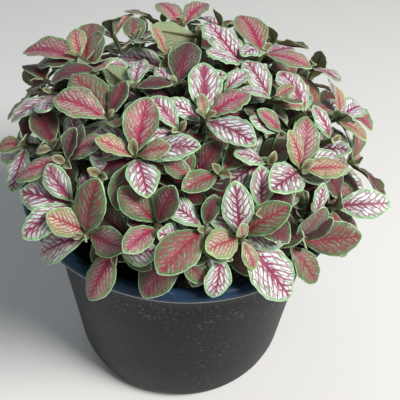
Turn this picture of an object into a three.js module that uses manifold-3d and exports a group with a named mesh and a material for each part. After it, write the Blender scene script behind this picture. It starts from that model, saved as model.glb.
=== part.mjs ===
// A nerve plant (Fittonia) in a black nursery pot, in millimetres with +Z up.
// The origin is the centre of the pot's underside. The mound of leaves is made of
// separate leafy stems, each of which stands in its own hole in the potting mix.
import * as THREE from "three";
import { mergeVertices } from "three/addons/utils/BufferGeometryUtils.js";
import Module from "manifold-3d";

const wasm = await Module();
wasm.setup();

// ---------------------------------------------------------------- driving sizes
const RIM_RADIUS = 80;
const POT_HEIGHT = 128;
const WALL_TOP_RADIUS = 69;
const BASE_RADIUS = 55;
const POT_SIDES = 36;

const SOIL_TOP = 115;
const SOIL_EDGE = 111.8;
const SEAT_GAP = 0.3;

// A stem is square, stands STEM_DEPTH deep in the mix, and has a short straight collar
// above it. It rises steeply before it leans out to its tip.
const STEM_RADIUS = 1.6;
const STEM_SIDES = 4;
const STEM_DEPTH = 13;
const COLLAR_RISE = 3;
const ROOT_SHARE = 0.62;
const ROOT_LIMIT = 57;
const BEND_OUT = 0.35;
const BEND_UP = 0.88;

// The stem tips lie on a flattened dome inside the mound's outer one.
const MOUND_CENTRE = new THREE.Vector3(0, 7, 140);
const MOUND_SPREAD = 94;
const MOUND_RISE = 48;
const SHOOT_REACH = 0.86;

const BLADE_THICKNESS = 0.75;
const WIDTH_SHARE = 0.58;
const UPHILL_SHORTENING = 0.1;
const LIGHT_LEAN = 1;
const LEAF_GAP = 0.3;
const JOINT_LENGTH = 1.6;
const OLD_LEAF_DROP = 7;
const LEAST_ANGLE = 70;

// Each leafy stem: the bearing of its tip (0 is +X, 90 is +Y), its tilt from the top
// of the mound, both in degrees, then its upper leaves from the youngest down. A leaf
// has its look, its turn in degrees (0 points up the mound, positive to the left as
// seen from outside), its length in mm and, where it is unusual, its lift in degrees.
const SHOOTS = [
  [-119, 84, [["g", -5, 28, -8], ["p", -70, 23], ["w", 130, 26, 10], ["o", 45, 20, 4]]],
  [-109, 86, [["w", -62, 22], ["p", 162, 22], ["g", -100, 15]]],
  [-125, 71, [["w", 54, 19], ["w", 102, 24], ["w", 152, 21]]],
  [-135, 57, [["b", 10, 15], ["p", -35, 20], ["p", 143, 21]]],
  [-111, 43, [["o", -70, 16], ["p", 5, 25], ["w", 64, 30], ["w", -64, 27], ["o", 90, 16],
    ["w", -140, 19], ["w", -103, 15], ["g", -178, 20]]],
  [-120, 54, [["b", -176, 15, 10]]],
  [-98, 68, [["b", -19, 19], ["g", 50, 20], ["p", 150, 17]]],
  [-86, 49, [["g", 59, 14]]],
  [-84, 68, [["b", -18, 14], ["w", 52, 18], ["g", 124, 24]]],
  [-73, 76, [["o", 12, 11], ["o", -165, 11], ["o", 76, 20], ["w", 4, 26], ["w", 50, 20],
    ["g", -53, 24], ["w", -138, 32]]],
  [-79, 82, [["w", 165, 16]]],
  [-91, 82, [["g", -135, 14]]],
  [-57, 92, [["g", -150, 19, 20]]],
  [-78, 26, [["o", 5, 10], ["p", -68, 21], ["w", -10, 28], ["w", 54, 18], ["w", -142, 23]]],
  [-94, 31, [["w", 45, 18], ["w", 105, 17]]],
  [-52, 17, [["w", -86, 14]]],
  [-46, 56, [["o", 6, 19], ["o", -122, 18], ["p", -43, 24], ["w", 87, 24], ["w", -114, 28]]],
  [-57, 48, [["w", 64, 17], ["w", 80, 21]]],
  [-66, 65, [["w", -9, 19]]],
  [-77, 47, [["g", -54, 20], ["g", 110, 17]]],
  [-52, 96, [["o", 25, 10], ["g", -7, 27, -14], ["b", 50, 22], ["g", -66, 26, 30], ["w", -110, 20]]],
  [-48, 82, [["w", -10, 19]]],
  [-36, 89, [["w", 18, 15], ["w", -84, 25, 40], ["g", 125, 20, 40]]],
  [-15, 84, [["b", 105, 23, 40], ["g", -45, 17], ["p", -106, 19, 35]]],
  [160, 44, [["o", 116, 17, 30], ["u", -20, 26, -15], ["p", 161, 30, 36], ["g", 100, 26, 25],
    ["w", 130, 22, 30], ["b", -177, 21], ["g", -81, 20]]],
  [170, 60, [["b", 123, 26], ["b", 165, 18, 30]]],
  [-173, 49, [["w", -134, 21], ["w", -85, 25]]],
  [-134, 35, [["o", -93, 10], ["p", 116, 22], ["g", 80, 27], ["b", 15, 18]]],
  [-144, 57, [["b", 68, 21]]],
  [-143, 21, [["w", 40, 16], ["u", 97, 18], ["w", 106, 17], ["b", -40, 17]]],
  [139, 25, [["w", -21, 24], ["g", 137, 17, 20]]],
  [95, 38, [["p", -147, 20, 25], ["p", 137, 20, 25]]],
  [80, 19, [["u", -67, 24]]],
  [-105, 12, [["b", 5, 25], ["w", 56, 15], ["b", -14, 16]]],
  [7, 18, [["w", 2, 20], ["w", -56, 30, 20]]],
  [-25, 30, [["o", -121, 10], ["o", -169, 13], ["w", 29, 17], ["w", -32, 23], ["g", 145, 16]]],
  [-42, 41, [["p", 20, 15], ["w", 40, 16]]],
  [29, 30, [["p", 121, 22], ["w", -178, 18], ["w", 18, 20], ["p", -91, 26]]],
  [-22, 43, [["w", -44, 27], ["w", -76, 22], ["g", -122, 22]]],
  [27, 58, [["w", 90, 20]]],
  [9, 68, [["p", 115, 21], ["u", 160, 16]]],
  [-24, 58, [["w", -18, 18]]],
];
// The tips of the leafy stems round the back, with leaves in plain opposite pairs.
const BACK_SHOOTS = [
  [35, 85], [60, 83], [86, 85], [112, 83], [138, 85], [162, 82],
  [50, 60], [75, 57], [103, 59], [127, 58], [149, 65],
  [16, 90], [-158, 70], [-8, 60], [150, 8], [178, 30],
];

// How far along the blade its edge points are, and its half width there, both as
// shares: it is narrow at the base, widest past the middle, and bluntly pointed.
const EDGE_AT = [0.25, 0.57, 0.85];
const EDGE_HALF_WIDTH = [0.56, 1, 0.64];
const MIDRIB_AT = [0.34, 0.7];

// Looks: white-netted, green, pink, burgundy, young orange, and turned to show its back.
const LOOK_COLOURS = {
  w: 0xd98ba0,
  g: 0x6f8f55,
  p: 0xb84a62,
  b: 0x6b2a3a,
  o: 0xc98a62,
  u: 0x7f8f6a,
};
const POT_COLOUR = 0x2b2a2c;
const MIX_COLOUR = 0x1e1916;
const LEAF_ROUGHNESS = 0.5;
const POT_ROUGHNESS = 0.55;
const MIX_ROUGHNESS = 0.95;

const degrees = THREE.MathUtils.degToRad;
const X = new THREE.Vector3(1, 0, 0);
const Y = new THREE.Vector3(0, 1, 0);
const Z = new THREE.Vector3(0, 0, 1);
const object = new THREE.Group();

// A repeatable draw between -1 and 1, and one spread evenly about a middle value.
let drawState = 20;
function draw() {
  drawState = (drawState * 1664525 + 1013904223) % 4294967296;
  return drawState / 2147483648 - 1;
}

function about(middle, spread) {
  return middle + spread * draw();
}

// ---------------------------------------------------------------- solid helpers
function toSolid(geometry) {
  const bare = geometry.clone();
  bare.deleteAttribute("normal");
  bare.deleteAttribute("uv");
  const merged = mergeVertices(bare, 1e-4);
  return new wasm.Manifold(
    new wasm.Mesh({
      numProp: 3,
      vertProperties: new Float32Array(merged.attributes.position.array),
      triVerts: new Uint32Array(merged.index.array),
    }),
  );
}

function toGeometry(solid) {
  const mesh = solid.getMesh();
  const geometry = new THREE.BufferGeometry();
  geometry.setAttribute("position", new THREE.BufferAttribute(mesh.vertProperties, 3));
  geometry.setIndex(new THREE.BufferAttribute(mesh.triVerts, 1));
  geometry.computeVertexNormals();
  return geometry;
}

function fromFaces(points, faces) {
  const geometry = new THREE.BufferGeometry().setFromPoints(points);
  geometry.setIndex(faces.flat());
  geometry.computeVertexNormals();
  return geometry;
}

function addPart(name, geometry, colour, roughness) {
  const material = new THREE.MeshStandardMaterial({ color: colour, roughness, metalness: 0 });
  const mesh = new THREE.Mesh(geometry, material);
  mesh.name = name;
  object.add(mesh);
}

// The corners of a regular outline about a centre, in the plane of two directions.
function ring(centre, across, third, radius, sides, spin = 0) {
  return Array.from({ length: sides }, (_, k) => {
    const angle = spin + (2 * Math.PI * k) / sides;
    return centre.clone()
      .addScaledVector(across, radius * Math.cos(angle))
      .addScaledVector(third, radius * Math.sin(angle));
  });
}

// A closed prism between two rings of as many corners.
function prism(foot, mouth) {
  const sides = foot.length;
  const faces = [];
  for (let k = 0; k < sides; k += 1) {
    const next = (k + 1) % sides;
    faces.push([k, next, next + sides], [k, next + sides, k + sides]);
  }
  for (let k = 1; k < sides - 1; k += 1) {
    faces.push([0, k + 1, k], [sides, sides + k, sides + k + 1]);
  }
  return fromFaces([...foot, ...mouth], faces);
}

// ---------------------------------------------------------------- pot
// One injection moulding: a flat base with a rounded corner, a wall with little draft,
// and a rim that flares out at the top over a funnel-shaped inner shoulder. Radius and
// height of each point, from the middle of the base up the outside and down the inside.
const FLOOR_THICKNESS = 2.2;
const POT_PROFILE = [
  [0, 0],
  [BASE_RADIUS, 0],
  [59.6, 1.4],
  [62.2, 4.6],
  [63.4, 10],
  [WALL_TOP_RADIUS, 111],
  [71.2, 116],
  [76.6, 121.4],
  [RIM_RADIUS - 0.4, 122.8],
  [RIM_RADIUS, 124.4],
  [79, 126.8],
  [76.8, POT_HEIGHT],
  [74.8, 127],
  [69.2, 118.6],
  [67.2, 112],
  [61.4, 9],
  [54, FLOOR_THICKNESS],
  [0, FLOOR_THICKNESS],
];
const DRAIN_HOLES = 6;
const DRAIN_RADIUS = 4.5;
const DRAIN_RING_RADIUS = 43;
const DRAIN_SIDES = 8;
const DRAIN_OVERCUT = 1;

function turned(profile) {
  const outline = profile.map(([r, z]) => new THREE.Vector2(r, z));
  return toSolid(new THREE.LatheGeometry(outline, POT_SIDES).rotateX(Math.PI / 2));
}

function pot() {
  let solid = turned(POT_PROFILE);
  for (let i = 0; i < DRAIN_HOLES; i += 1) {
    const angle = (2 * Math.PI * (i + 0.5)) / DRAIN_HOLES;
    const x = DRAIN_RING_RADIUS * Math.cos(angle);
    const y = DRAIN_RING_RADIUS * Math.sin(angle);
    const [foot, mouth] = [-DRAIN_OVERCUT, FLOOR_THICKNESS + DRAIN_OVERCUT].map((z) =>
      ring(new THREE.Vector3(x, y, z), X, Y, DRAIN_RADIUS, DRAIN_SIDES));
    solid = solid.subtract(toSolid(prism(foot, mouth)));
  }
  addPart("pot", toGeometry(solid), POT_COLOUR, POT_ROUGHNESS);
}

// ---------------------------------------------------------------- leafy stems
function tipPlace(bearing, tilt) {
  const b = degrees(bearing);
  const t = degrees(tilt);
  const out = new THREE.Vector3(Math.sin(t) * Math.cos(b), Math.sin(t) * Math.sin(b), Math.cos(t));
  const tip = new THREE.Vector3(
    MOUND_SPREAD * SHOOT_REACH * out.x,
    MOUND_SPREAD * SHOOT_REACH * out.y,
    MOUND_RISE * SHOOT_REACH * out.z,
  ).add(MOUND_CENTRE);
  const axis = new THREE.Vector3(
    out.x * MOUND_RISE,
    out.y * MOUND_RISE,
    out.z * MOUND_SPREAD,
  ).normalize();
  const uphill = Z.clone().addScaledVector(axis, -axis.z).normalize();
  const left = new THREE.Vector3().crossVectors(axis, uphill);
  return { tip, axis, uphill, left };
}

// The stem rises steeply from its hole, then leans out to its tip.
function stemRoute(tip) {
  const share = Math.min(ROOT_SHARE, ROOT_LIMIT / Math.hypot(tip.x, tip.y));
  const collar = new THREE.Vector3(tip.x * share, tip.y * share, SOIL_TOP + COLLAR_RISE);
  const bend = new THREE.Vector3(
    collar.x + BEND_OUT * (tip.x - collar.x),
    collar.y + BEND_OUT * (tip.y - collar.y),
    collar.z + BEND_UP * (tip.z - collar.z),
  );
  const rise = bend.clone().sub(collar).normalize();
  const root = collar.clone().addScaledVector(rise, -STEM_DEPTH / rise.z);
  const arc = new THREE.QuadraticBezierCurve3(collar, bend, tip);
  return { root, collar, rise, arc, reach: arc.getLength() };
}

function wholeTurn(angle) {
  return ((angle % 360) + 360) % 360;
}

// Shares the leaves out over short joints of the stem, from the tip down. A joint has
// four faces and a leaf grows from the face nearest to its turn. Leaves that lie close
// together round the stem go to different joints.
function shareOut(leaves, spin) {
  const joints = [];
  leaves.forEach((leaf) => {
    const face = Math.round(wholeTurn(leaf.turn - spin) / 90) % STEM_SIDES;
    const suits = (joint) =>
      joint.old === leaf.old &&
      joint.leaves.every((other) => {
        const between = wholeTurn(other.turn - leaf.turn);
        const apart = Math.min(between, 360 - between);
        return other.face !== face && apart >= LEAST_ANGLE;
      });
    let joint = joints.find(suits);
    if (!joint) {
      joint = { old: leaf.old, leaves: [] };
      joints.push(joint);
    }
    leaf.face = face;
    leaf.joint = joint;
    joint.leaves.push(leaf);
  });
  return joints;
}

// The rings of a stem from its tip down to its root, each a square of corners.
function stemRings(shoot, joints, spin) {
  const { root, collar, rise, arc, reach } = shoot.route;
  const backs = [0];
  joints.forEach((joint, i) => {
    if (joint.old && (i === 0 || !joints[i - 1].old)) {
      backs.push(backs.at(-1) + OLD_LEAF_DROP);
    }
    joint.top = backs.length - 1;
    backs.push(backs.at(-1) + JOINT_LENGTH);
  });
  backs.push((backs.at(-1) + reach) / 2);
  const stations = backs.map((back) => {
    const at = 1 - back / reach;
    return [arc.getPointAt(at), arc.getTangentAt(at)];
  });
  stations.push([collar, rise], [root, rise]);
  const across = shoot.uphill.clone();
  return stations.map(([centre, along]) => {
    across.addScaledVector(along, -across.dot(along)).normalize();
    const third = new THREE.Vector3().crossVectors(along, across);
    return ring(centre, across, third, STEM_RADIUS, STEM_SIDES, degrees(spin - 45));
  });
}

// The points of a blade, its upper face and then its lower one. Each face has the two
// corners where the stem carries it, three points up the left edge, the tip, three down
// the right edge, and two on the midrib.
function bladePoints(leaf, lift, turn, length, thickness, grow) {
  const along = leaf.uphill.clone().multiplyScalar(Math.cos(turn))
    .addScaledVector(leaf.left, Math.sin(turn))
    .multiplyScalar(Math.cos(lift))
    .addScaledVector(leaf.axis, Math.sin(lift));
  const facing = leaf.axis.clone().addScaledVector(Z, LIGHT_LEAN);
  facing.addScaledVector(along, -facing.dot(along)).normalize();
  facing.applyAxisAngle(along, leaf.roll);
  const across = new THREE.Vector3().crossVectors(facing, along);
  const halfWidth = 0.5 * WIDTH_SHARE * length * leaf.breadth * grow;
  const place = (at, side) => {
    const arch = leaf.arch * Math.sin(Math.PI * at) - leaf.droop * at * at;
    const height = arch * length + leaf.fold * Math.abs(side) * halfWidth;
    return leaf.base.clone()
      .addScaledVector(along, length * at * grow)
      .addScaledVector(across, side * halfWidth)
      .addScaledVector(facing, height);
  };
  const edge = EDGE_AT.map((at, i) => [at + leaf.skew, EDGE_HALF_WIDTH[i]]);
  const back = EDGE_AT.map((at, i) => [at - leaf.skew, -EDGE_HALF_WIDTH[i]]).reverse();
  const ribs = MIDRIB_AT.map((at) => [at, 0]);
  const middle = [...edge, [1, 0], ...back, ...ribs].map(([at, side]) => place(at, side));
  const shift = facing.clone().multiplyScalar(thickness / 2);
  const [upperLeft, upperRight, lowerLeft, lowerRight] = leaf.corners;
  return [
    upperLeft, upperRight, ...middle.map((p) => p.clone().add(shift)),
    lowerLeft, lowerRight, ...middle.map((p) => p.clone().sub(shift)),
  ];
}

// Both faces of a blade are split alike.
const FACE = [
  [0, 1, 9], [0, 9, 2], [2, 9, 3], [9, 10, 3], [3, 10, 4], [10, 5, 4],
  [1, 8, 9], [8, 7, 9], [9, 7, 10], [7, 6, 10], [10, 6, 5],
];
const OUTLINE = [0, 2, 3, 4, 5, 6, 7, 8, 1];
const FACE_POINTS = 11;
const BLADE_FACES = [];
FACE.forEach(([a, b, c]) => {
  BLADE_FACES.push([a, b, c], [a + FACE_POINTS, c + FACE_POINTS, b + FACE_POINTS]);
});
OUTLINE.slice(1).forEach((next, i) => {
  const from = OUTLINE[i];
  const under = from + FACE_POINTS;
  BLADE_FACES.push([from, next, next + FACE_POINTS], [from, next + FACE_POINTS, under]);
});

// The middle of the widest gap between the leaves round a stem, in degrees.
function widestGap(turns) {
  const sorted = [...turns].sort((p, q) => p - q);
  sorted.push(sorted[0] + 360);
  let best = 0;
  for (let i = 1; i < sorted.length - 1; i += 1) {
    if (sorted[i + 1] - sorted[i] > sorted[best + 1] - sorted[best]) {
      best = i;
    }
  }
  return (sorted[best] + sorted[best + 1]) / 2;
}

// A look for a drawn shade: the first whose upper bound the shade stays under.
function lookFor(shade, bounds) {
  return bounds.find(([, bound]) => shade < bound)[0];
}

// Below its listed leaves a stem carries older, duller ones that fill the gaps. Stems
// on the steep side of the mound have one fewer.
const SIDE_TILT = 50;
const LEAVES_PER_TOP_STEM = 6;
const LEAVES_PER_SIDE_STEM = 5;
const OLD_LOOKS = [["b", -0.2], ["g", 0.4], ["w", 1]];

function withOldLeaves(listed, tilt) {
  const fullCount = tilt < SIDE_TILT ? LEAVES_PER_TOP_STEM : LEAVES_PER_SIDE_STEM;
  const leaves = listed.map(([look, turn, length, lift]) => ({ look, turn, length, lift, old: false }));
  while (leaves.length < fullCount) {
    const turn = about(widestGap(leaves.map((leaf) => wholeTurn(leaf.turn))), 12);
    const look = lookFor(draw(), OLD_LOOKS);
    leaves.push({ look, turn, length: about(21, 3), lift: about(4, 6), old: true });
  }
  return leaves;
}

// Opposite pairs of leaves, each pair a quarter turn from the one above it, and their
// lengths from the youngest pair down.
const PAIR_LENGTHS = [14, 21, 25];
const GROWN_LOOKS = [["b", -0.4], ["g", 0], ["p", 0.3], ["w", 1]];

function pairedLeaves() {
  const spin = about(0, 180);
  const leaves = [];
  PAIR_LENGTHS.forEach((pairLength, pair) => {
    [0, 180].forEach((side) => {
      const grown = lookFor(draw(), GROWN_LOOKS);
      const look = pair === 0 ? "o" : grown;
      const turn = about(spin + 90 * pair + side, 8);
      const length = about(pairLength, 2);
      leaves.push({ look, turn, length, old: pair === PAIR_LENGTHS.length - 1 });
    });
  });
  return leaves;
}

// Settles how a leaf lifts (degrees), rolls (radians) and bends (shares of its length
// or half width). A young leaf stands up, and one that shows its back is rolled over and
// cupped.
const YOUNG_LIFT = 30;
const GROWN_LIFT = 14;
const TURNED_ROLL = 2.3;
const TURNED_FOLD = 0.3;

function shapeLeaf(leaf, shoot) {
  const turned = leaf.look === "u";
  const lift = about(leaf.look === "o" ? YOUNG_LIFT : GROWN_LIFT, 7);
  leaf.lift = leaf.lift ?? lift;
  leaf.roll = about(turned ? TURNED_ROLL : 0, 0.2);
  leaf.fold = about(0.14, 0.16) + (turned ? TURNED_FOLD : 0);
  leaf.arch = about(0.06, 0.04);
  leaf.droop = about(0.05, 0.07);
  leaf.breadth = about(1, 0.09);
  leaf.skew = about(0, 0.02);
  leaf.length *= 1 - UPHILL_SHORTENING * Math.cos(degrees(leaf.turn));
  Object.assign(leaf, { axis: shoot.axis, uphill: shoot.uphill, left: shoot.left });
  const upper = shoot.rings[leaf.joint.top];
  const lower = shoot.rings[leaf.joint.top + 1];
  const right = leaf.face;
  const left = (leaf.face + 1) % STEM_SIDES;
  leaf.corners = [upper[left], upper[right], lower[left], lower[right]];
  leaf.base = new THREE.Vector3();
  leaf.corners.forEach((corner) => leaf.base.addScaledVector(corner, 1 / leaf.corners.length));
}

// ---------------------------------------------------------------- keeping leaves clear
function segmentMeets(p, q, a, b, c) {
  const dx = q.x - p.x;
  const dy = q.y - p.y;
  const dz = q.z - p.z;
  const e1x = b.x - a.x;
  const e1y = b.y - a.y;
  const e1z = b.z - a.z;
  const e2x = c.x - a.x;
  const e2y = c.y - a.y;
  const e2z = c.z - a.z;
  const hx = dy * e2z - dz * e2y;
  const hy = dz * e2x - dx * e2z;
  const hz = dx * e2y - dy * e2x;
  const det = e1x * hx + e1y * hy + e1z * hz;
  if (Math.abs(det) < 1e-12) {
    return false;
  }
  const sx = p.x - a.x;
  const sy = p.y - a.y;
  const sz = p.z - a.z;
  const u = (sx * hx + sy * hy + sz * hz) / det;
  if (u < 0 || u > 1) {
    return false;
  }
  const kx = sy * e1z - sz * e1y;
  const ky = sz * e1x - sx * e1z;
  const kz = sx * e1y - sy * e1x;
  const v = (dx * kx + dy * ky + dz * kz) / det;
  if (v < 0 || u + v > 1) {
    return false;
  }
  const t = (e2x * kx + e2y * ky + e2z * kz) / det;
  return t >= 0 && t <= 1;
}

function edgesOf(faces) {
  const seen = new Set();
  const edges = [];
  faces.forEach((face) => {
    face.forEach((a, i) => {
      const b = face[(i + 1) % 3];
      const key = Math.min(a, b) * 1000 + Math.max(a, b);
      if (!seen.has(key)) {
        seen.add(key);
        edges.push([a, b]);
      }
    });
  });
  return edges;
}

function body(points, faces, edges) {
  const box = new THREE.Box3().setFromPoints(points);
  return { points, faces, edges, box };
}

// Leaves and stem of one shoot share corner points, and those don't count as meeting.
function edgesMeet(one, other) {
  return one.edges.some(([i, j]) => {
    const p = one.points[i];
    const q = one.points[j];
    return other.faces.some((face) => {
      const [a, b, c] = face.map((k) => other.points[k]);
      const shared = [a, b, c].some((corner) => corner === p || corner === q);
      return !shared && segmentMeets(p, q, a, b, c);
    });
  });
}

function meet(one, other) {
  return one.box.intersectsBox(other.box) && (edgesMeet(one, other) || edgesMeet(other, one));
}

// A leaf stays above the potting mix and clear of the rim, which it may hang over.
const POT_CLEARANCE = 1.5;
const RIM_CLEAR_RADIUS = RIM_RADIUS + POT_CLEARANCE;
const RIM_CLEAR_HEIGHT = POT_HEIGHT + POT_CLEARANCE;
const SOIL_CLEAR_RADIUS = 62;
const SOIL_CLEAR_HEIGHT = SOIL_TOP + POT_CLEARANCE;
const EDGE_SAMPLES = 4;

function meetsPot(points, edges) {
  return edges.some(([i, j]) => {
    for (let k = 0; k <= EDGE_SAMPLES; k += 1) {
      const p = points[i].clone().lerp(points[j], k / EDGE_SAMPLES);
      const radius = Math.hypot(p.x, p.y);
      const floor = radius < SOIL_CLEAR_RADIUS ? SOIL_CLEAR_HEIGHT : RIM_CLEAR_HEIGHT;
      if (radius < RIM_CLEAR_RADIUS && p.z < floor) {
        return true;
      }
    }
    return false;
  });
}

const SCALE_TRIES = [1, 0.9, 0.8, 0.7, 0.6, 0.5];
const TURN_TRIES = [0, 8, -8, 16, -16, 26, -26];
const LIFT_TRIES = [0, 6, -6, 12, -12, 18, -18, 26, 34, 44, -26];
const BLADE_EDGES = edgesOf(BLADE_FACES);
const CLEAR_THICKNESS = BLADE_THICKNESS + 2 * LEAF_GAP;
const CLEAR_GROWTH = 1.03;

// Bends a leaf clear: it is lifted, turned or, last, made smaller until it meets
// nothing, and it keeps a gap to the leaves of other stems. Where no place is free, the
// stem does without the leaf.
function clearBlade(leaf, own, others) {
  for (const scale of SCALE_TRIES) {
    for (const turnBy of TURN_TRIES) {
      for (const liftBy of LIFT_TRIES) {
        const lift = degrees(leaf.lift + liftBy);
        const turn = degrees(leaf.turn + turnBy);
        const length = leaf.length * scale;
        const wide = bladePoints(leaf, lift, turn, length, CLEAR_THICKNESS, CLEAR_GROWTH);
        const trial = body(wide, BLADE_FACES, BLADE_EDGES);
        if (meetsPot(wide, BLADE_EDGES) || others.some((other) => meet(trial, other))) {
          continue;
        }
        const points = bladePoints(leaf, lift, turn, length, BLADE_THICKNESS, 1);
        const real = body(points, BLADE_FACES, BLADE_EDGES);
        if (!own.some((other) => meet(real, other))) {
          return real;
        }
      }
    }
  }
  return null;
}

// ---------------------------------------------------------------- assembly
const shoots = [];
SHOOTS.forEach(([bearing, tilt, listed]) => {
  shoots.push({ ...tipPlace(bearing, tilt), leaves: withOldLeaves(listed, tilt) });
});
BACK_SHOOTS.forEach(([bearing, tilt]) => {
  shoots.push({ ...tipPlace(bearing, tilt), leaves: pairedLeaves() });
});

// The faces of a stem: four sides to each joint, apart from those that carry a leaf.
function stemFaces(shoot) {
  const faces = [];
  const last = shoot.rings.length - 1;
  for (let i = 0; i < last; i += 1) {
    for (let k = 0; k < STEM_SIDES; k += 1) {
      const carries = shoot.leaves.some(
        (leaf) => leaf.blade && leaf.joint.top === i && leaf.face === k,
      );
      if (!carries) {
        const a = (i + 1) * STEM_SIDES + k;
        const b = (i + 1) * STEM_SIDES + ((k + 1) % STEM_SIDES);
        faces.push([a, b, b - STEM_SIDES], [a, b - STEM_SIDES, a - STEM_SIDES]);
      }
    }
  }
  const foot = last * STEM_SIDES;
  faces.push([0, 1, 2], [0, 2, 3], [foot, foot + 2, foot + 1], [foot, foot + 3, foot + 2]);
  return faces;
}

shoots.forEach((shoot) => {
  const spin = shoot.leaves[0].turn;
  const joints = shareOut(shoot.leaves, spin);
  shoot.route = stemRoute(shoot.tip);
  shoot.rings = stemRings(shoot, joints, spin);
  shoot.leaves.forEach((leaf) => shapeLeaf(leaf, shoot));
  const faces = stemFaces(shoot);
  shoot.bodies = [body(shoot.rings.flat(), faces, edgesOf(faces))];
});

// The youngest leaf of every stem is placed first, then the next of every stem, and the
// old leaves come last.
const placing = shoots.flatMap((shoot) =>
  shoot.leaves.map((leaf, order) => ({ shoot, leaf, order })));
placing.sort((p, q) => p.leaf.old - q.leaf.old || p.order - q.order);
placing.forEach(({ shoot, leaf }) => {
  const others = shoots.filter((other) => other !== shoot).flatMap((other) => other.bodies);
  leaf.blade = clearBlade(leaf, shoot.bodies, others);
  if (leaf.blade) {
    shoot.bodies.push(leaf.blade);
  }
});

// Stem and leaves are one closed surface: a leaf starts from the corners of its joint.
function leafyStems() {
  shoots.forEach((shoot, i) => {
    const points = shoot.rings.flat();
    const faces = stemFaces(shoot);
    shoot.leaves.filter((leaf) => leaf.blade).forEach((leaf) => {
      const at = leaf.blade.points.map((point) => {
        const known = points.indexOf(point);
        return known >= 0 ? known : points.push(point) - 1;
      });
      BLADE_FACES.forEach((face) => faces.push(face.map((k) => at[k])));
    });
    const name = `leafy_stem_${String(i + 1).padStart(2, "0")}`;
    const colour = LOOK_COLOURS[shoot.leaves[0].look];
    addPart(name, fromFaces(points, faces), colour, LEAF_ROUGHNESS);
  });
}

// ---------------------------------------------------------------- potting mix
// It fills the pot to below the rim, a little higher in the middle, with a plain hole
// for each stem.
const MIX_PROFILE = [
  [0, FLOOR_THICKNESS + SEAT_GAP],
  [53.8, FLOOR_THICKNESS + SEAT_GAP],
  [61.05, 9.1],
  [66.85, SOIL_EDGE],
  [0, SOIL_TOP],
];

function pottingMix() {
  let solid = turned(MIX_PROFILE);
  const widen = 1 + SEAT_GAP / (STEM_RADIUS * Math.cos(Math.PI / STEM_SIDES));
  shoots.forEach(({ rings, route }) => {
    const hole = (corners, centre, shift) => corners.map((corner) =>
      corner.clone().sub(centre).multiplyScalar(widen).add(centre)
        .addScaledVector(route.rise, shift));
    const foot = hole(rings.at(-1), route.root, -SEAT_GAP);
    const mouth = hole(rings.at(-2), route.collar, COLLAR_RISE);
    solid = solid.subtract(toSolid(prism(foot, mouth)));
  });
  addPart("potting_mix", toGeometry(solid), MIX_COLOUR, MIX_ROUGHNESS);
}

pot();
pottingMix();
leafyStems();

export default object;
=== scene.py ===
import math

import bpy
import numpy as np
from mathutils import Matrix, Vector


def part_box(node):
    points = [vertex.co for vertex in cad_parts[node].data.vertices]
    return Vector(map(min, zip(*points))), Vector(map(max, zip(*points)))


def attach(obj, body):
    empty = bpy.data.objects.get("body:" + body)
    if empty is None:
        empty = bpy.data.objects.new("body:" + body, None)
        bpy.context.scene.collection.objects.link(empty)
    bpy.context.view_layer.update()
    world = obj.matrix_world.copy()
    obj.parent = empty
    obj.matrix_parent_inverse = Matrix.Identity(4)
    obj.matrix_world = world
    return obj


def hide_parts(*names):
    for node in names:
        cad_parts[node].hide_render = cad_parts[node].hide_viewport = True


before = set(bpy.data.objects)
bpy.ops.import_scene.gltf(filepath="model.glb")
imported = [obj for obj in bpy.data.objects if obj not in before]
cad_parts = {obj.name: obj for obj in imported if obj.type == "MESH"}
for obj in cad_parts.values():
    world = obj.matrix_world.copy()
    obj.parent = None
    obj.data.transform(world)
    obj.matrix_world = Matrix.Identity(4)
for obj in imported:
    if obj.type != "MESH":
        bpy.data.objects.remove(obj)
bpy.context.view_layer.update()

# ------------------------------------------------------------------ nursery pot
# The pot is one thin injection moulding in black polypropylene: a flat base with a
# rounded corner, a nearly straight wall, and a rim that flares out and rolls over. It
# has been handled and stacked, so its lip is worn pale and its wall is scuffed.
# The lip's blue is a painted reflection of the sky, and its pale edges also carry a
# painted highlight.
MM = 0.001
pot_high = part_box("pot")[1]
rim_radius = pot_high.x
pot_height = pot_high.z
base_radius = 0.055
wall_top_radius = 0.069
POT_SEGMENTS = 160

# Radius and height of the profile, from the middle of the base up the outside and down
# the inside.
pot_profile = [
    # The base and its rounded corner.
    (0, 0), (0.030, 0), (0.0515, 0), (base_radius, 0.0002), (0.0578, 0.0008),
    (0.0600, 0.0020), (0.0617, 0.0040), (0.0627, 0.0068),
    # The wall.
    (0.0634, 0.0100), (0.0648, 0.036), (0.0662, 0.061), (0.0676, 0.086),
    (0.0684, 0.1005), (0.0687, 0.1062), (0.0691, 0.1072),
    # The flare and the rolled lip.
    (wall_top_radius + 0.0003, 0.1105), (0.0700, 0.1134), (0.0713, 0.1162),
    (0.0736, 0.1189), (0.0763, 0.1210), (0.0782, 0.1219), (0.0792, 0.1226),
    (0.0797, 0.1234), (rim_radius, 0.1243), (0.0799, 0.1253), (0.0794, 0.1264),
    (0.0785, 0.1274), (0.0776, 0.1279), (0.0767, pot_height), (0.0757, 0.1278),
    (0.0748, 0.1270), (0.0735, 0.1252), (0.0714, 0.1220), (0.0696, 0.1192),
    # The inside of the wall and of the base.
    (0.0683, 0.1165), (0.0675, 0.1135), (0.0671, 0.1105), (0.0642, 0.0600),
    (0.0616, 0.0120), (0.0600, 0.0066), (0.0575, 0.0040), (0.0535, 0.0024),
    (0.030, 0.0022), (0, 0.0022),
]
POT_CREASE = 38
DRAIN_HOLES = 6
drain_radius = 0.0045
drain_ring_radius = 0.043
drill_foot = -0.002
drill_top = 0.006
DRILL_SEGMENTS = 32
drill_turn = 0.06


def tube_faces(rings, segments):
    """The faces between rings of points that lie one above the other."""
    faces = []
    for i in range(rings - 1):
        for k in range(segments):
            n = (k + 1) % segments
            a, b = i * segments, (i + 1) * segments
            faces.append((a + k, a + n, b + n, b + k))
    return faces


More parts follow.
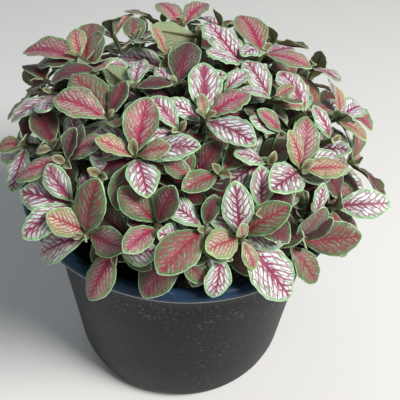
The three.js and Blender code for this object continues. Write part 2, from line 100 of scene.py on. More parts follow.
def new_piece(name, points, faces):
    mesh = bpy.data.meshes.new(name)
    mesh.from_pydata(points, [], faces)
    mesh.update()
    made = bpy.data.objects.new(name, mesh)
    bpy.context.scene.collection.objects.link(made)
    return made


def turned(name, profile, segments):
    """A closed body of revolution, from its profile of radii and heights."""
    rings = [(r, z) for r, z in profile if r > 0]
    angles = 2 * math.pi * np.arange(segments) / segments
    points = [(r * math.cos(a), r * math.sin(a), z) for r, z in rings for a in angles]
    foot, top = len(points), len(points) + 1
    points += [(0, 0, profile[0][1]), (0, 0, profile[-1][1])]
    faces = tube_faces(len(rings), segments)
    last = (len(rings) - 1) * segments
    for k in range(segments):
        n = (k + 1) % segments
        faces.append((foot, n, k))
        faces.append((top, last + k, last + n))
    return new_piece(name, points, faces)


def smooth(made, crease):
    """Shades a mesh smooth, but for edges sharper than the crease in degrees."""
    made.data.polygons.foreach_set("use_smooth", [True] * len(made.data.polygons))
    made.data.set_sharp_from_angle(angle=math.radians(crease))


def cut_drain_holes(pot):
    """Drills the base, then keeps the result as the pot's own mesh."""
    drill_profile = [
        (0, drill_foot), (drain_radius, drill_foot), (drain_radius, drill_top), (0, drill_top)
    ]
    drills = []
    for i in range(DRAIN_HOLES):
        angle = 2 * math.pi * (i + 0.5) / DRAIN_HOLES
        drill = turned(f"drill_{i}", drill_profile, DRILL_SEGMENTS)
        place = (drain_ring_radius * math.cos(angle), drain_ring_radius * math.sin(angle), 0)
        drill.data.transform(Matrix.Translation(place) @ Matrix.Rotation(drill_turn, 4, "Z"))
        drills.append(drill)
        cut = pot.modifiers.new(f"drain_{i}", "BOOLEAN")
        cut.operation = "DIFFERENCE"
        cut.solver = "EXACT"
        cut.object = drill
    graph = bpy.context.evaluated_depsgraph_get()
    drilled = bpy.data.meshes.new_from_object(pot.evaluated_get(graph))
    pot.modifiers.clear()
    pot.data = drilled
    for drill in drills:
        bpy.data.objects.remove(drill)


class Finish:
    """A material as it is mixed: its shader, and the steps that lead to it."""

    def __init__(self, name):
        self.material = bpy.data.materials.new(name)
        self.material.use_nodes = True
        self.tree = self.material.node_tree
        self.tree.nodes.clear()
        self.shader = self.node("BsdfPrincipled")
        self.feed(self.node("OutputMaterial").inputs["Surface"], self.shader.outputs["BSDF"])

    def feed(self, socket, value):
        """Gives a socket a number or a colour, or links it to another socket."""
        if isinstance(value, bpy.types.NodeSocket):
            self.tree.links.new(value, socket)
        elif isinstance(value, tuple) and socket.type == "RGBA":
            socket.default_value = (*value, 1)
        else:
            socket.default_value = value

    def node(self, kind, **values):
        """A step with its settings and its inputs."""
        made = self.tree.nodes.new("ShaderNode" + kind)
        for name, value in values.items():
            if hasattr(made, name):
                setattr(made, name, value)
            else:
                self.feed(made.inputs[name.replace("_", " ")], value)
        return made

    def surface(self, **values):
        """Feeds the shader's own inputs."""
        for name, value in values.items():
            self.feed(self.shader.inputs[name.replace("_", " ")], value)

    def bump(self, height, strength, distance):
        made = self.node("Bump", Height=height, Strength=strength, Distance=distance)
        self.surface(Normal=made.outputs["Normal"])

    def maths(self, operation, *values):
        made = self.node("Math", operation=operation)
        for socket, value in zip(made.inputs, values):
            self.feed(socket, value)
        return made.outputs[0]

    def times(self, first, second):
        return self.maths("MULTIPLY", first, second)

    def scaled(self, value, factor, offset):
        """The value times the factor, plus the offset."""
        return self.maths("MULTIPLY_ADD", value, factor, offset)

    def rest(self, value):
        """What the value leaves of 1."""
        return self.maths("SUBTRACT", 1.0, value)

    def step(self, value, low, high):
        """0 below low and 1 above high, with a soft step between."""
        made = self.node("MapRange", interpolation_type="SMOOTHSTEP", Value=value)
        self.feed(made.inputs["From Min"], low)
        self.feed(made.inputs["From Max"], high)
        return made.outputs["Result"]

    def mixed(self, share, under, over):
        """A colour laid over another, by its share."""
        made = self.node("Mix", data_type="RGBA")
        for socket, value in ((0, share), (6, under), (7, over)):
            self.feed(made.inputs[socket], value)
        return made.outputs[2]

    def place(self):
        return self.node("TexCoord").outputs["Object"]

    def parts(self, vector):
        return self.node("SeparateXYZ", Vector=vector).outputs

    def noise(self, place, scale, detail, roughness=0.5):
        """Soft clouds from 0 to 1; a larger scale makes them finer."""
        made = self.node("TexNoise", Vector=place, Scale=scale, Detail=detail, Roughness=roughness)
        return made.outputs["Fac"]


BLACK_PLASTIC = (0.0046, 0.0046, 0.0084)
DUSTY_PLASTIC = (0.0120, 0.0105, 0.0140)
# The lip's blue is a painted reflection of the sky, not the plastic's own colour.
LIP_SKY_REFLECTION = (0.020, 0.049, 0.092)
# Pale for the scuffs and rubbed wear, and also for the painted highlight along the lip's edges.
PALE_WEAR_AND_GLINT = (0.55, 0.57, 0.60)
reflection_from = 0.1195
reflection_above = 0.1232
scuffed_above = 0.115
outer_edge_height = 0.1236
outer_edge_radius = (0.0780, 0.0788)
inner_edge_height = (0.1260, 0.1268)
inner_edge_radius = 0.0748
flare_edge_radius = 0.0713


def scuffed_plastic():
    plastic = Finish("scuffed black plastic")
    times, scaled, step, mixed = plastic.times, plastic.scaled, plastic.step, plastic.mixed
    place = plastic.place()
    x, y, height = plastic.parts(place)
    radius = plastic.maths("SQRT", plastic.maths("ADD", times(x, x), times(y, y)))

    # Dust and handling leave broad, faint clouds on the wall.
    clouds = plastic.noise(place, 22.0, 5.0, 0.6)
    colour = mixed(times(step(clouds, 0.38, 0.72), 0.75), BLACK_PLASTIC, DUSTY_PLASTIC)

    # The lip above the flare is painted blue: a painted reflection of the sky on its upward faces.
    lip = step(height, reflection_from, reflection_above)
    colour = mixed(times(lip, 0.85), colour, LIP_SKY_REFLECTION)

    # Scuffs are short level scratches and specks, thicker towards the top of the wall.
    upper = times(step(height, 0.0, scuffed_above), 0.04)
    often = scaled(plastic.noise(place, 42.0, 3.0), 0.30, upper)

    def marks(across, upright, low, high, drift):
        stretched = plastic.node("Mapping", Vector=place, Location=(drift, 0, drift))
        plastic.feed(stretched.inputs["Scale"], (across, across, upright))
        grain = plastic.noise(stretched.outputs["Vector"], 1.0, 1.0)
        return step(plastic.maths("ADD", grain, often), low, high)

    scratches = marks(400, 1900, 0.890, 0.94, 3.0)
    specks = marks(1200, 1500, 0.905, 0.95, 8.0)
    scuffs = times(plastic.maths("MAXIMUM", scratches, specks), scaled(lip, -0.75, 1.0))
    colour = mixed(times(scuffs, 0.42), colour, PALE_WEAR_AND_GLINT)

    # The lip's outermost edge and its inner edges are pale in a broken line: partly rubbed
    # wear, partly a painted highlight where the rounded edges catch the light.
    rubbed_and_glinting = times(plastic.noise(place, 900.0, 2.0, 0.7), plastic.noise(place, 30.0, 2.0))

    def line_at(value, middle, near, far):
        away = plastic.maths("ABSOLUTE", plastic.maths("SUBTRACT", value, middle))
        return plastic.rest(step(away, near, far))

    outer = times(line_at(height, outer_edge_height, 0.0003, 0.0008), step(radius, *outer_edge_radius))
    inner = times(line_at(radius, inner_edge_radius, 0.0003, 0.0012), step(height, *inner_edge_height))
    inner = plastic.maths("MAXIMUM", inner, line_at(radius, flare_edge_radius, 0.0002, 0.0008))
    outer_wear_and_glint = times(outer, step(rubbed_and_glinting, 0.12, 0.22))
    inner_wear_and_glint = times(inner, step(rubbed_and_glinting, 0.24, 0.33))
    colour = mixed(times(outer_wear_and_glint, 0.7), colour, PALE_WEAR_AND_GLINT)
    colour = mixed(times(inner_wear_and_glint, 0.5), colour, PALE_WEAR_AND_GLINT)

    rough = scaled(lip, -0.15, scaled(clouds, 0.22, 0.36))
    rough = plastic.maths("ADD", rough, times(scuffs, 0.25))
    plastic.surface(Base_Color=colour, Roughness=rough, Specular_IOR_Level=0.17)
    plastic.bump(scaled(scuffs, -0.8, plastic.noise(place, 900.0, 2.0)), 0.25, 0.0002)
    return plastic.material


pot = turned("nursery_pot", pot_profile, POT_SEGMENTS)
cut_drain_holes(pot)
smooth(pot, POT_CREASE)
pot.data.materials.append(scuffed_plastic())
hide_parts("pot")
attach(pot, "root")

# ------------------------------------------------------------------ potting mix
# The pot is filled to below the rim with a dark, damp peat mix. Its top is crumbly, with
# a few pale grains of perlite and bits of dry root. It only lies in the pot.
mix_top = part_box("potting_mix")[1].z
mix_edge = 0.1118
mix_radius = 0.0668
mix_foot_rings = ((0.0611, 0.0100), (0.0537, 0.0026))
mix_settling = 0.0012
crumb_margin = 0.003
MIX_RINGS = 34
MIX_SEGMENTS = 130
CRUMBS = 1500
CRUMB_SIZES = (0.5, 1.7)
PALE_GRAINS = 110
PALE_GRAIN_SIZES = (0.6, 1.1)
crumb_draw = np.random.default_rng(7)
DARK_PEAT = (0.009, 0.007, 0.0055)
DRY_PEAT = (0.060, 0.043, 0.030)
PERLITE = (0.55, 0.47, 0.34)


def lumps(x, y):
    """The uneven height of the mix, from waves that don't repeat within the pot."""
    waves = (
        (0.55, 410, 190, 0.3),
        (0.45, -260, 390, 1.9),
        (0.35, 620, -540, 4.1),
        (0.28, -830, -700, 2.2),
        (0.20, 1250, 940, 5.0),
        (0.16, -1500, 1320, 0.8),
    )
    return MM * sum(a * np.sin(p * x + q * y + r) for a, p, q, r in waves)


def mix_height(radius):
    return mix_top - mix_settling + (mix_edge - mix_top) * radius / mix_radius


def crumb(centre, size, sides_draw):
    """A rough six-cornered grain, pushed out of true, as points and faces."""
    corners = np.array(
        [(1, 0, 0), (-1, 0, 0), (0, 1, 0), (0, -1, 0), (0, 0, 1), (0, 0, -1)], float
    )
    faces = [(0, 2, 4), (2, 1, 4), (1, 3, 4), (3, 0, 4), (2, 0, 5), (1, 2, 5), (3, 1, 5), (0, 3, 5)]
    corners *= sides_draw.uniform(0.55, 1.2, (6, 1))
    turn = np.linalg.qr(sides_draw.normal(size=(3, 3)))[0]
    if np.linalg.det(turn) < 0:
        turn[:, 0] *= -1
    return centre + size * corners @ turn.T, faces


def potting_mix():
    """The filling in one mesh: its uneven top, its plain side and foot, then the crumbs."""
    points, faces, pale = [], [], []
    for i in range(MIX_RINGS + 1):
        for k in range(MIX_SEGMENTS):
            radius = mix_radius * (i + 0.3) / (MIX_RINGS + 0.3)
            angle = 2 * math.pi * k / MIX_SEGMENTS
            x, y = radius * math.cos(angle), radius * math.sin(angle)
            fade = min(1.0, (MIX_RINGS - i) / 2)
            points.append((x, y, mix_height(radius) + fade * lumps(x, y)))
    rings = MIX_RINGS + 1
    for i in range(MIX_RINGS):
        for k in range(MIX_SEGMENTS):
            n = (k + 1) % MIX_SEGMENTS
            a, b = i * MIX_SEGMENTS, (i + 1) * MIX_SEGMENTS
            faces.append((a + k, b + k, b + n, a + n))
    faces.append(tuple(range(MIX_SEGMENTS)))
    for radius, height in mix_foot_rings:
        for k in range(MIX_SEGMENTS):
            angle = 2 * math.pi * k / MIX_SEGMENTS
            points.append((radius * math.cos(angle), radius * math.sin(angle), height))
        a, b = (rings - 1) * MIX_SEGMENTS, rings * MIX_SEGMENTS
        for k in range(MIX_SEGMENTS):
            n = (k + 1) % MIX_SEGMENTS
            faces.append((a + k, b + k, b + n, a + n))
        rings += 1
    faces.append(tuple(reversed(range((rings - 1) * MIX_SEGMENTS, rings * MIX_SEGMENTS))))
    pale += [0.0] * len(points)
    for i in range(CRUMBS + PALE_GRAINS):
        radius = (mix_radius - crumb_margin) * math.sqrt(crumb_draw.uniform(0.02, 1))
        angle = crumb_draw.uniform(0, 2 * math.pi)
        light = i >= CRUMBS
        size = crumb_draw.uniform(*(PALE_GRAIN_SIZES if light else CRUMB_SIZES))
        x, y = radius * math.cos(angle), radius * math.sin(angle)
        height = mix_height(radius) + lumps(x, y) + 0.25 * size * MM
        grown, sides = crumb(np.array((x, y, height)), size * MM, crumb_draw)
        start = len(points)
        points += [tuple(p) for p in grown]
        faces += [tuple(start + v for v in side) for side in sides]
        pale += [crumb_draw.uniform(0.75, 1) if light else crumb_draw.uniform(0, 0.12)] * len(grown)
    made = new_piece("crumbly_mix", points, faces)
    made.data.attributes.new("pale", "FLOAT", "POINT").data.foreach_set("value", pale)
    return made


def damp_peat():
    peat = Finish("damp peat mix")
    grains = peat.noise(peat.place(), 420.0, 6.0, 0.7)
    earth = peat.mixed(peat.step(grains, 0.35, 0.7), DARK_PEAT, DRY_PEAT)
    pale = peat.node("Attribute", attribute_name="pale").outputs["Fac"]
    peat.surface(Base_Color=peat.mixed(pale, earth, PERLITE), Roughness=0.9, Specular_IOR_Level=0.25)
    peat.bump(grains, 0.7, 0.0006)
    return peat.material


mix = potting_mix()
mix.data.materials.append(damp_peat())
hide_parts("potting_mix")
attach(mix, "root")

# ------------------------------------------------------------------ where the leaves grow
# A nerve plant is a mound of many soft stems, each rooted in the mix and ending in a
# rosette of leaves in opposite pairs. The stems lean out from the middle towards the
# light, and where two leaves would cross, one has bent clear of the other.
MOUND_CENTRE = np.array((0, 7, 140.0))
MOUND_SPREAD = 94
MOUND_RISE = 48
SHOOT_REACH = 0.86
SOIL_TOP = 115
STEM_RADIUS = 1.6
STEM_DEPTH = 13
COLLAR_RISE = 3
ROOT_SHARE = 0.62
ROOT_LIMIT = 57
BEND_OUT = 0.35
BEND_UP = 0.88
JOINT_LENGTH = 1.6
OLD_LEAF_DROP = 7
LEAST_ANGLE = 70
WIDTH_SHARE = 0.58
UPHILL_SHORTENING = 0.1
LIGHT_LEAN = 1
BLADE_THICKNESS = 0.75
SIDE_TILT = 50
UP = np.array((0, 0, 1.0))

# Each leafy stem: the bearing of its tip and its tilt from the top of the mound, in
# degrees, then its upper leaves from the youngest down: look, turn, length in mm and,
# where it is unusual, lift. Looks are w white-netted, g green, p pink, b burgundy,
# o young and orange, and u turned to show its back.
SHOOTS = [
    [-119, 84, [["g", -5, 28, -8], ["p", -70, 23], ["w", 130, 26, 10], ["o", 45, 20, 4]]],
    [-109, 86, [["w", -62, 22], ["p", 162, 22], ["g", -100, 15]]],
    [-125, 71, [["w", 54, 19], ["w", 102, 24], ["w", 152, 21]]],
    [-135, 57, [["b", 10, 15], ["p", -35, 20], ["p", 143, 21]]],
    [-111, 43, [["o", -70, 16], ["p", 5, 25], ["w", 64, 30], ["w", -64, 27], ["o", 90, 16],
        ["w", -140, 19], ["w", -103, 15], ["g", -178, 20]]],
    [-120, 54, [["b", -176, 15, 10]]],
    [-98, 68, [["b", -19, 19], ["g", 50, 20], ["p", 150, 17]]],
    [-86, 49, [["g", 59, 14]]],
    [-84, 68, [["b", -18, 14], ["w", 52, 18], ["g", 124, 24]]],
    [-73, 76, [["o", 12, 11], ["o", -165, 11], ["o", 76, 20], ["w", 4, 26], ["w", 50, 20],
        ["g", -53, 24], ["w", -138, 32]]],
    [-79, 82, [["w", 165, 16]]],
    [-91, 82, [["g", -135, 14]]],
    [-57, 92, [["g", -150, 19, 20]]],
    [-78, 26, [["o", 5, 10], ["p", -68, 21], ["w", -10, 28], ["w", 54, 18], ["w", -142, 23]]],
    [-94, 31, [["w", 45, 18], ["w", 105, 17]]],
    [-52, 17, [["w", -86, 14]]],
    [-46, 56, [["o", 6, 19], ["o", -122, 18], ["p", -43, 24], ["w", 87, 24], ["w", -114, 28]]],
    [-57, 48, [["w", 64, 17], ["w", 80, 21]]],
    [-66, 65, [["w", -9, 19]]],
    [-77, 47, [["g", -54, 20], ["g", 110, 17]]],
    [-52, 96, [["o", 25, 10], ["g", -7, 27, -14], ["b", 50, 22], ["g", -66, 26, 30], ["w", -110, 20]]],
    [-48, 82, [["w", -10, 19]]],
    [-36, 89, [["w", 18, 15], ["w", -84, 25, 40], ["g", 125, 20, 40]]],
    [-15, 84, [["b", 105, 23, 40], ["g", -45, 17], ["p", -106, 19, 35]]],
    [160, 44, [["o", 116, 17, 30], ["u", -20, 26, -15], ["p", 161, 30, 36], ["g", 100, 26, 25],
        ["w", 130, 22, 30], ["b", -177, 21], ["g", -81, 20]]],
    [170, 60, [["b", 123, 26], ["b", 165, 18, 30]]],
    [-173, 49, [["w", -134, 21], ["w", -85, 25]]],
    [-134, 35, [["o", -93, 10], ["p", 116, 22], ["g", 80, 27], ["b", 15, 18]]],
    [-144, 57, [["b", 68, 21]]],
    [-143, 21, [["w", 40, 16], ["u", 97, 18], ["w", 106, 17], ["b", -40, 17]]],
    [139, 25, [["w", -21, 24], ["g", 137, 17, 20]]],
    [95, 38, [["p", -147, 20, 25], ["p", 137, 20, 25]]],
    [80, 19, [["u", -67, 24]]],
    [-105, 12, [["b", 5, 25], ["w", 56, 15], ["b", -14, 16]]],
    [7, 18, [["w", 2, 20], ["w", -56, 30, 20]]],
    [-25, 30, [["o", -121, 10], ["o", -169, 13], ["w", 29, 17], ["w", -32, 23], ["g", 145, 16]]],
    [-42, 41, [["p", 20, 15], ["w", 40, 16]]],
    [29, 30, [["p", 121, 22], ["w", -178, 18], ["w", 18, 20], ["p", -91, 26]]],
    [-22, 43, [["w", -44, 27], ["w", -76, 22], ["g", -122, 22]]],
    [27, 58, [["w", 90, 20]]],
    [9, 68, [["p", 115, 21], ["u", 160, 16]]],
    [-24, 58, [["w", -18, 18]]],
]
BACK_SHOOTS = [
    [35, 85], [60, 83], [86, 85], [112, 83], [138, 85], [162, 82],
    [50, 60], [75, 57], [103, 59], [127, 58], [149, 65],
    [16, 90], [-158, 70], [-8, 60], [150, 8], [178, 30],
]
PAIR_LENGTHS = (14, 21, 25)
OLD_LOOKS = (("b", -0.2), ("g", 0.4), ("w", 1))
GROWN_LOOKS = (("b", -0.4), ("g", 0), ("p", 0.3), ("w", 1))
draw_state = 20


def draw():
    """A repeatable draw between -1 and 1."""
    global draw_state
    draw_state = (draw_state * 1664525 + 1013904223) % 4294967296
    return draw_state / 2147483648 - 1


def about(middle, spread):
    return middle + spread * draw()


def look_for(shade, bounds):
    return next(look for look, bound in bounds if shade < bound)


def unit(v):
    return v / np.linalg.norm(v)


def tip_place(bearing, tilt):
    b, t = math.radians(bearing), math.radians(tilt)
    out = np.array((math.sin(t) * math.cos(b), math.sin(t) * math.sin(b), math.cos(t)))
    spread = np.array((MOUND_SPREAD, MOUND_SPREAD, MOUND_RISE))
    tip = spread * SHOOT_REACH * out + MOUND_CENTRE
    axis = unit(out / spread)
    uphill = unit(UP - axis * axis[2])
    return {"tip": tip, "axis": axis, "uphill": uphill, "left": np.cross(axis, uphill)}


def widest_gap(turns):
    turns = sorted(turns)
    turns.append(turns[0] + 360)
    gaps = [b - a for a, b in zip(turns, turns[1:])]
    best = gaps.index(max(gaps))
    return (turns[best] + turns[best + 1]) / 2


def with_old_leaves(listed, tilt):
    """Below its listed leaves a stem carries older ones that fill the gaps."""
    full_count = 6 if tilt < SIDE_TILT else 5
    leaves = [
        {"look": look, "turn": turn, "length": length, "lift": lift[0] if lift else None, "old": False}
        for look, turn, length, *lift in listed
    ]
    while len(leaves) < full_count:
        turn = about(widest_gap([leaf["turn"] % 360 for leaf in leaves]), 12)
        look = look_for(draw(), OLD_LOOKS)
        length = about(21, 3)
        leaves.append({"look": look, "turn": turn, "length": length, "lift": about(4, 6), "old": True})
    return leaves


def paired_leaves():
    """Opposite pairs of leaves, each a quarter turn from the pair above it."""
    spin = about(0, 180)
    leaves = []
    for pair, pair_length in enumerate(PAIR_LENGTHS):
        for side in (0, 180):
            grown = look_for(draw(), GROWN_LOOKS)
            turn = about(spin + 90 * pair + side, 8)
            length = about(pair_length, 2)
            look = "o" if pair == 0 else grown
            old = pair == len(PAIR_LENGTHS) - 1
            leaves.append({"look": look, "turn": turn, "length": length, "lift": None, "old": old})
    return leaves


def share_out(leaves, spin):
    """Shares the leaves out over the stem's joints, each with four faces."""
    joints = []
    for leaf in leaves:
        face = math.floor((leaf["turn"] - spin) % 360 / 90 + 0.5) % 4

        def suits(joint):
            for other in joint["leaves"]:
                between = (other["turn"] - leaf["turn"]) % 360
                if other["face"] == face or min(between, 360 - between) < LEAST_ANGLE:
                    return False
            return joint["old"] == leaf["old"]

        joint = next((joint for joint in joints if suits(joint)), None)
        if joint is None:
            joint = {"old": leaf["old"], "leaves": []}
            joints.append(joint)
        leaf["face"] = face
        leaf["joint"] = joint
        joint["leaves"].append(leaf)
    return joints


ROUTE_STEPS = 200


def stem_route(shoot):
    """The stem's bend from its collar to its tip, measured along its length."""
    tip = shoot["tip"]
    share = min(ROOT_SHARE, ROOT_LIMIT / math.hypot(tip[0], tip[1]))
    collar = np.array((tip[0] * share, tip[1] * share, SOIL_TOP + COLLAR_RISE))
    bend = collar + np.array((BEND_OUT, BEND_OUT, BEND_UP)) * (tip - collar)
    rise = unit(bend - collar)

    def at(u):
        return (1 - u) ** 2 * collar + 2 * u * (1 - u) * bend + u * u * tip

    steps = np.array([at(u) for u in np.linspace(0, 1, ROUTE_STEPS + 1)])
    lengths = np.concatenate(([0], np.cumsum(np.linalg.norm(np.diff(steps, axis=0), axis=1))))
    shoot["route"] = {
        "collar": collar,
        "root": collar - rise * STEM_DEPTH / rise[2],
        "rise": rise,
        "reach": lengths[-1],
    }

    def station(back):
        """The centre and direction of the stem this far below its tip."""
        u = np.interp((1 - back / lengths[-1]) * lengths[-1], lengths, np.linspace(0, 1, ROUTE_STEPS + 1))
        low, high = max(u - 0.0001, 0), min(u + 0.0001, 1)
        return at(u), unit(at(high) - at(low))

    shoot["station"] = station


def stem_rings(shoot, joints, spin):
    """The square rings of the stem, from its tip down to its root."""
    backs = [0.0]
    for i, joint in enumerate(joints):
        if joint["old"] and (i == 0 or not joints[i - 1]["old"]):
            backs.append(backs[-1] + OLD_LEAF_DROP)
        joint["top"] = len(backs) - 1
        backs.append(backs[-1] + JOINT_LENGTH)
    shoot["lowest_joint"] = backs[-1]
    rings = []
    across = shoot["uphill"]
    for back in backs:
        centre, along = shoot["station"](back)
        across = unit(across - along * across.dot(along))
        third = np.cross(along, across)
        angles = [math.radians(spin - 45 + 90 * k) for k in range(4)]
        rings.append([centre + STEM_RADIUS * (across * math.cos(a) + third * math.sin(a)) for a in angles])
    return rings


def shape_leaf(leaf, shoot):
    """Settles how a leaf lifts, rolls and bends, as its look and the draws say."""
    turned_over = leaf["look"] == "u"
    lift = about(30 if leaf["look"] == "o" else 14, 7)
    leaf["lift"] = lift if leaf["lift"] is None else leaf["lift"]
    leaf["roll"] = about(2.3 if turned_over else 0, 0.2)
    leaf["fold"] = about(0.14, 0.16) + (0.3 if turned_over else 0)
    leaf["arch"] = about(0.06, 0.04)
    leaf["droop"] = about(0.05, 0.07)
    leaf["breadth"] = about(1, 0.09)
    leaf["skew"] = about(0, 0.02)
    leaf["length"] *= 1 - UPHILL_SHORTENING * math.cos(math.radians(leaf["turn"]))
    top = leaf["joint"]["top"]
    right, left = leaf["face"], (leaf["face"] + 1) % 4
    rings = shoot["rings"]
    corners = (rings[top][left], rings[top][right], rings[top + 1][left], rings[top + 1][right])
    leaf["base"] = sum(corners) / 4


def turned_about(v, axis, angle):
    c, s = math.cos(angle), math.sin(angle)
    return v * c + np.cross(axis, v) * s + axis * axis.dot(v) * (1 - c)


def lie(leaf, shoot, scale, turn_by, lift_by):
    """How a leaf lies at one try: the directions along it, across it and out of it."""
    turn = math.radians(leaf["turn"] + turn_by)
    lift = math.radians(leaf["lift"] + lift_by)
    flat = shoot["uphill"] * math.cos(turn) + shoot["left"] * math.sin(turn)
    along = flat * math.cos(lift) + shoot["axis"] * math.sin(lift)
    facing = shoot["axis"] + LIGHT_LEAN * UP
    facing = unit(facing - along * facing.dot(along))
    facing = turned_about(facing, along, leaf["roll"])
    length = leaf["length"] * scale
    half_width = 0.5 * WIDTH_SHARE * length * leaf["breadth"]
    return {"along": along, "across": np.cross(facing, along), "facing": facing,
            "length": length, "half_width": half_width}


def blade_point(leaf, way, at, side):
    """A point of the leaf's middle surface: at from base to tip, side from -1 to 1."""
    height = way["length"] * (leaf["arch"] * math.sin(math.pi * at) - leaf["droop"] * at * at)
    height += leaf["fold"] * abs(side) * way["half_width"]
    return (leaf["base"] + way["along"] * way["length"] * at
            + way["across"] * side * way["half_width"] + way["facing"] * height)


SCALE_TRIES = (1, 0.9, 0.8, 0.7, 0.6, 0.5)
TURN_TRIES = (0, 8, -8, 16, -16, 26, -26)
LIFT_TRIES = (0, 6, -6, 12, -12, 18, -18, 26, 34, 44, -26)
CHECK_POINTS = ((1, 0), (0.57, 1), (0.57, -1))
MATCH = 0.08


def find_way(leaf, shoot, corners):
    """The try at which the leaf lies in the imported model, or nothing where it has none."""
    best, best_miss = None, MATCH
    for scale in SCALE_TRIES:
        for turn_by in TURN_TRIES:
            for lift_by in LIFT_TRIES:
                way = lie(leaf, shoot, scale, turn_by, lift_by)
                miss = 0
                for at, side in CHECK_POINTS:
                    skewed = at + leaf["skew"] * side
                    point = blade_point(leaf, way, skewed, side) + way["facing"] * BLADE_THICKNESS / 2
                    miss = max(miss, np.min(np.linalg.norm(corners - point, axis=1)))
                    if miss > best_miss:
                        break
                if miss < best_miss:
                    best, best_miss = way, miss
    return best


shoots = [{**tip_place(b, t), "leaves": with_old_leaves(listed, t)} for b, t, listed in SHOOTS]
shoots += [{**tip_place(b, t), "leaves": paired_leaves()} for b, t in BACK_SHOOTS]
for number, shoot in enumerate(shoots, 1):
    shoot["node"] = f"leafy_stem_{number:02d}"
    spin = shoot["leaves"][0]["turn"]
    joints = share_out(shoot["leaves"], spin)
    stem_route(shoot)
    shoot["rings"] = stem_rings(shoot, joints, spin)
    for leaf in shoot["leaves"]:
        shape_leaf(leaf, shoot)
    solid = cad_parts[shoot["node"]].data
    corners = np.empty(3 * len(solid.vertices))
    solid.vertices.foreach_get("co", corners)
    corners = corners.reshape(-1, 3) / MM
    for leaf in shoot["leaves"]:
        leaf["way"] = find_way(leaf, shoot, corners)
    shoot["leaves"] = [leaf for leaf in shoot["leaves"] if leaf["way"]]

# ------------------------------------------------------------------ leafy stems
# Each stem is soft, round and hairy, and carries thin oval blades on short stalks. A
# blade is quilted between its sunken side veins, ribbed beneath, and a little ruffled
# along its edge. At the tip of the stem a pair of new leaves is still folded.
BLADE_ROWS = 32
BLADE_SIDES = (0.09, 0.25, 0.45, 0.66, 0.86, 1.0)
LOWER_ROWS = 16
LOWER_SIDES = (0.38, 0.78, 1.0)
LOWER_PAIRS = 6
LOWER_SPACING = 4.5
LOWEST_LEAF = 131
LOWER_ROOM = 1.55
# The lower leaves' colours are multiplied by this: painted shade deep in the mound.
LOWER_PAINTED_SHADE = 0.72
LOWER_SCALES = (1, 0.8, 0.6)
LOWER_TURNS = (0, 22, -22, 44, -44, 66, -66, 88, -88)
LOWER_LIFTS = (0, 14, 28, -14, 42)
LOWER_START = 2.5
LOWER_LOOKS = ["b", "g", "g", "w", "b"]
OVER_RIM = 131
WITHIN_RIM = 62
BUD_ROOM = 1.6
BUD_ROWS = 12
BUD_SIDES = (0.3, 0.7, 1.0)
BUD_LENGTH = 6.2
BLADE_START = 0.015
BLADE_END = 0.997
MIDDLE_THICKNESS = 0.46
EDGE_THICKNESS = 0.24
STALK_RADIUS = 0.7
LEAST_STALK = 0.12
STALK_REACH = 0.9
STALK_STATIONS = 12
STALK_SIDES = 7
STEM_THICKNESS = 1.1
STEM_TIP = (0.7, 1.05)
STEM_BURIED = (3.0, 7.0, 11.0)
STEM_STATIONS = 30
STEM_SIDES = 10
KNUCKLE = 0.18
HAIRS = 40
HAIR_LENGTH = 0.9
HAIR_RADII = (0.07, 0.05, 0.012)
LEAF_CREASE = 50
growth = np.random.default_rng(23)


def dye(red, green, blue):
    """A colour as a paint maker gives it, 0 to 255, in Blender's own numbers."""
    def straight(part):
        part /= 255
        return part / 12.92 if part <= 0.04045 else ((part + 0.055) / 1.055) ** 2.4
    return np.array((straight(red), straight(green), straight(blue), 1.0))


# Each look: the tissue, the veins, the margin, then how pale the patches between the
# veins are, how far the pink spreads from the midrib and how fine the net of veins is.
LEAF_LOOKS = {
    "w": (dye(104, 128, 96), dye(142, 20, 74), dye(134, 190, 134), 1.0, 0.5, 1.0),
    "g": (dye(82, 110, 64), dye(148, 48, 64), dye(80, 136, 74), 0.16, 0.45, 1.5),
    "p": (dye(148, 112, 86), dye(160, 30, 76), dye(98, 152, 90), 0.34, 0.65, 2.1),
    "b": (dye(78, 52, 46), dye(116, 28, 50), dye(74, 118, 70), 0.05, 0.7, 1.6),
    "o": (dye(172, 164, 120), dye(170, 52, 72), dye(134, 166, 98), 0.30, 0.24, 2.0),
    "u": (dye(104, 124, 88), dye(150, 84, 84), dye(124, 160, 108), 0.15, 0.30, 1.3),
    "bud": (dye(112, 106, 74), dye(122, 62, 60), dye(142, 152, 98), 0.12, 0.20, 1.5),
}
PALE_PATCH = dye(236, 244, 244)
# The thin pale edge of the margin, brightened with a painted highlight where the edge catches the light.
PALE_EDGE_AND_HIGHLIGHT = dye(234, 246, 214)
# The leaf's grey-green back, made paler with painted light shining through the leaf.
GREY_GREEN_BACK_LIT_THROUGH = dye(158, 176, 134)
STEM_COLOUR = dye(70, 78, 42)
HAIR_COLOUR = dye(214, 200, 170)


def blade_width(at):
    """Half the blade's width against its widest, by the place along it."""
    return np.sin(math.pi * at ** 1.233) ** (0.70 - 0.06 * at)


class Growth:
    """The points, faces and shades of everything on one stem, as it is built up."""

    def __init__(self):
        self.points = []
        self.faces = []
        self.shades = {name: [] for name in ("blade", "net", "tissue", "veins", "margin", "amounts")}
        self.count = 0

    def add(self, points, faces, shades):
        self.points.append(points)
        self.faces += [tuple(self.count + v for v in face) for face in faces]
        for name, rows in self.shades.items():
            rows.append(np.broadcast_to(shades[name], (len(points), len(shades[name][0]))))
        self.count += len(points)


def strips(rows, columns, first, flip):
    """Quads of a grid of points, row by row."""
    faces = []
    for i in range(rows - 1):
        for k in range(columns - 1):
            a = first + i * columns + k
            quad = (a, a + columns, a + columns + 1, a + 1)
            faces.append(tuple(reversed(quad)) if flip else quad)
    return faces


